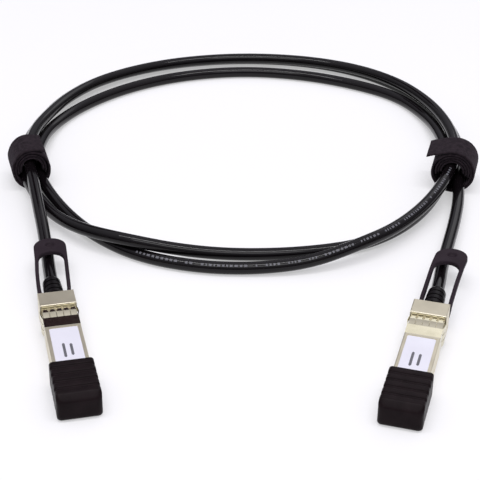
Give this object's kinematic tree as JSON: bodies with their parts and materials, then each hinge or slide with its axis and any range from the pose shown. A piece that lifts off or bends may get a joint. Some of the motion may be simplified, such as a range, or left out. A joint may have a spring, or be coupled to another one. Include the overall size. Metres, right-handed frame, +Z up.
{
  "type": "direct attach copper cable",
  "caption": "Black copper cable in a loose loop held by two hook-and-loop ties, with a small metal pluggable connector, dust cap and pull tab at each end.",
  "frame": {"origin": "on the table below the middle of the box round the two plugs with their caps and pull tabs; the loop lies behind them", "axes": "+Z up from the table; +X across from the left plug to the right one; +Y from the plugs' noses back towards the loop"},
  "size_m": [0.2134, 0.3165, 0.0202],
  "materials": {
    "die_cast": "nickel-plated zinc casting, satin",
    "spring_steel": "stamped and polished",
    "latch_steel": "stamped sheet, satin",
    "spring_wire": "drawn wire",
    "label_paper": "coated white film",
    "circuit_board": "green solder mask, gold contacts",
    "chip_package": "moulded black",
    "pair_shield": "wrapped foil",
    "ferrule_metal": "nickel-plated, crimped",
    "boot_rubber": "moulded matte",
    "tab_plastic": "moulded satin charcoal",
    "cap_rubber": "moulded soft matte",
    "strap_fabric": "brushed hook-and-loop strap",
    "jacket": "smooth black PVC"
  },
  "bodies": {
    "cable_and_plugs": {"cable": "jacket", "tie_left": "strap_fabric", "tie_right": "strap_fabric", "lower_housing_left": "die_cast", "lower_housing_right": "die_cast", "top_cover_left": "die_cast", "top_cover_right": "die_cast", "emi_collar_left": "spring_steel", "emi_collar_right": "spring_steel", "label_left": "label_paper", "label_right": "label_paper", "paddle_card_left": "circuit_board", "paddle_card_right": "circuit_board", "memory_chip_left": "chip_package", "memory_chip_right": "chip_package", "twinax_pairs_left": "pair_shield", "twinax_pairs_right": "pair_shield", "crimp_ferrule_left": "ferrule_metal", "crimp_ferrule_right": "ferrule_metal", "strain_relief_left": "boot_rubber", "strain_relief_right": "boot_rubber", "return_springs_left": "spring_wire", "return_springs_right": "spring_wire"},
    "release_left": {"latch_slide_left": "latch_steel", "pull_tab_left": "tab_plastic"},
    "cap_left": {"dust_cap_left": "cap_rubber"},
    "release_right": {"latch_slide_right": "latch_steel", "pull_tab_right": "tab_plastic"},
    "cap_right": {"dust_cap_right": "cap_rubber"}
  },
  "joints": [
    {"name": "release_slide_left", "type": "slide", "parent": "cable_and_plugs", "child": "release_left", "axis": [-0.2402, 0.9707, 0], "range_m": [0, 0.0025], "stiffness_N_per_m": 900, "springref_m": -0.001},
    {"name": "cap_pull_left", "type": "slide", "parent": "cable_and_plugs", "child": "cap_left", "axis": [0.2402, -0.9707, 0], "range_m": [0, 0.025]},
    {"name": "release_slide_right", "type": "slide", "parent": "cable_and_plugs", "child": "release_right", "axis": [0.2656, 0.9641, 0], "range_m": [0, 0.0025], "stiffness_N_per_m": 900, "springref_m": -0.001},
    {"name": "cap_pull_right", "type": "slide", "parent": "cable_and_plugs", "child": "cap_right", "axis": [-0.2656, -0.9641, 0], "range_m": [0, 0.025]}
  ]
}
